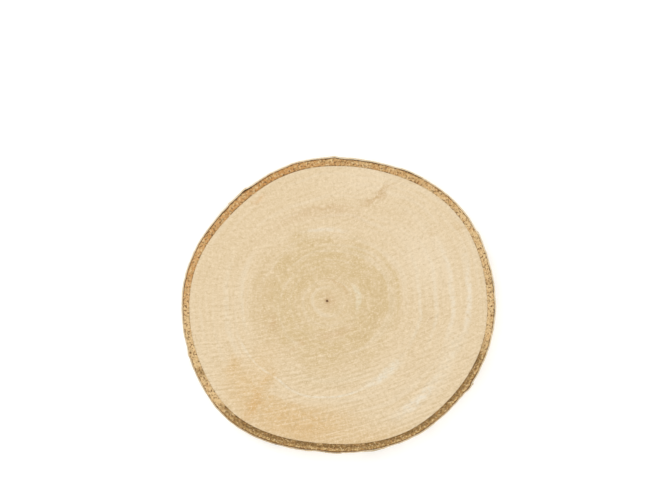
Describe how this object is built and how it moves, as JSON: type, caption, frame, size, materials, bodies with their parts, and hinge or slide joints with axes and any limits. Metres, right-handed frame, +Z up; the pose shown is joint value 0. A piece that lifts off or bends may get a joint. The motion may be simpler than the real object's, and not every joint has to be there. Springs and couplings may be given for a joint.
{
  "type": "birch wood slice",
  "caption": "Flat round cross-cut of a birch trunk with its bark still on, rough sawn on both faces, lying flat.",
  "frame": {"origin": "middle of the slice's box, on its lower sawn face", "axes": "+Z up out of the upper sawn face, +X across the slice's widest way, -Y towards the front of the bark"},
  "size_m": [0.22, 0.2084, 0.0195],
  "materials": {
    "wood": "dry, rough-sawn end grain with faint growth rings",
    "bark": "papery white birch bark with brown lenticels, matt"
  },
  "bodies": {
    "root": {"wood": "wood", "bark": "bark"}
  },
  "joints": []
}
